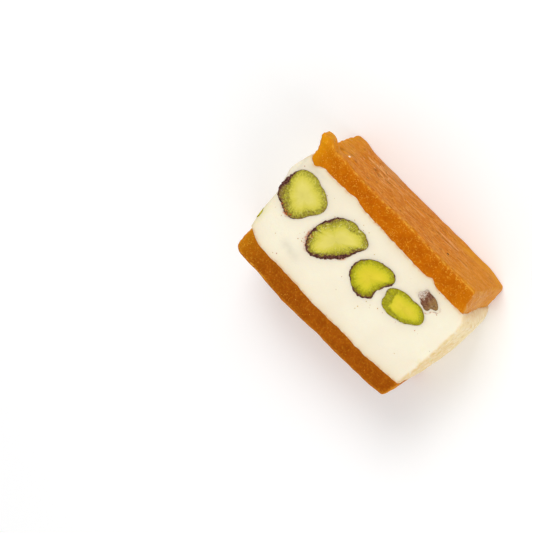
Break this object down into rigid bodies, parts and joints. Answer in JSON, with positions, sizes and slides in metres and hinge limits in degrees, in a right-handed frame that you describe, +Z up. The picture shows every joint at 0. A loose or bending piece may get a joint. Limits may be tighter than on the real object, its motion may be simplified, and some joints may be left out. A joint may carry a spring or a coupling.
{
  "type": "nougat bar",
  "caption": "Cut bar of white nougat with pistachios between two layers of apricot paste, lying on one cut face.",
  "frame": {"origin": "middle of the bounding box at its base, on the cut face that the bar lies on", "axes": "+X along the bar, +Y across the layers toward the paste layer with the pushed-out corner, +Z up out of the upper cut face"},
  "size_m": [0.0492, 0.0314, 0.021],
  "materials": {
    "nougat": "matte, slightly waxy",
    "apricot_paste": "satin, dense dried fruit paste",
    "pistachio": "satin, cut nut",
    "pistachio_skin": "matte, papery"
  },
  "bodies": {
    "root": {"nougat": "nougat", "apricot_layer_upper": "apricot_paste", "apricot_layer_lower": "apricot_paste", "pistachio_1": "pistachio", "pistachio_2": "pistachio", "pistachio_3": "pistachio", "pistachio_4": "pistachio", "pistachio_5": "pistachio_skin", "pistachio_6": "pistachio", "pistachio_7": "pistachio", "pistachio_8": "pistachio", "pistachio_9": "pistachio", "pistachio_end": "pistachio"}
  },
  "joints": []
}
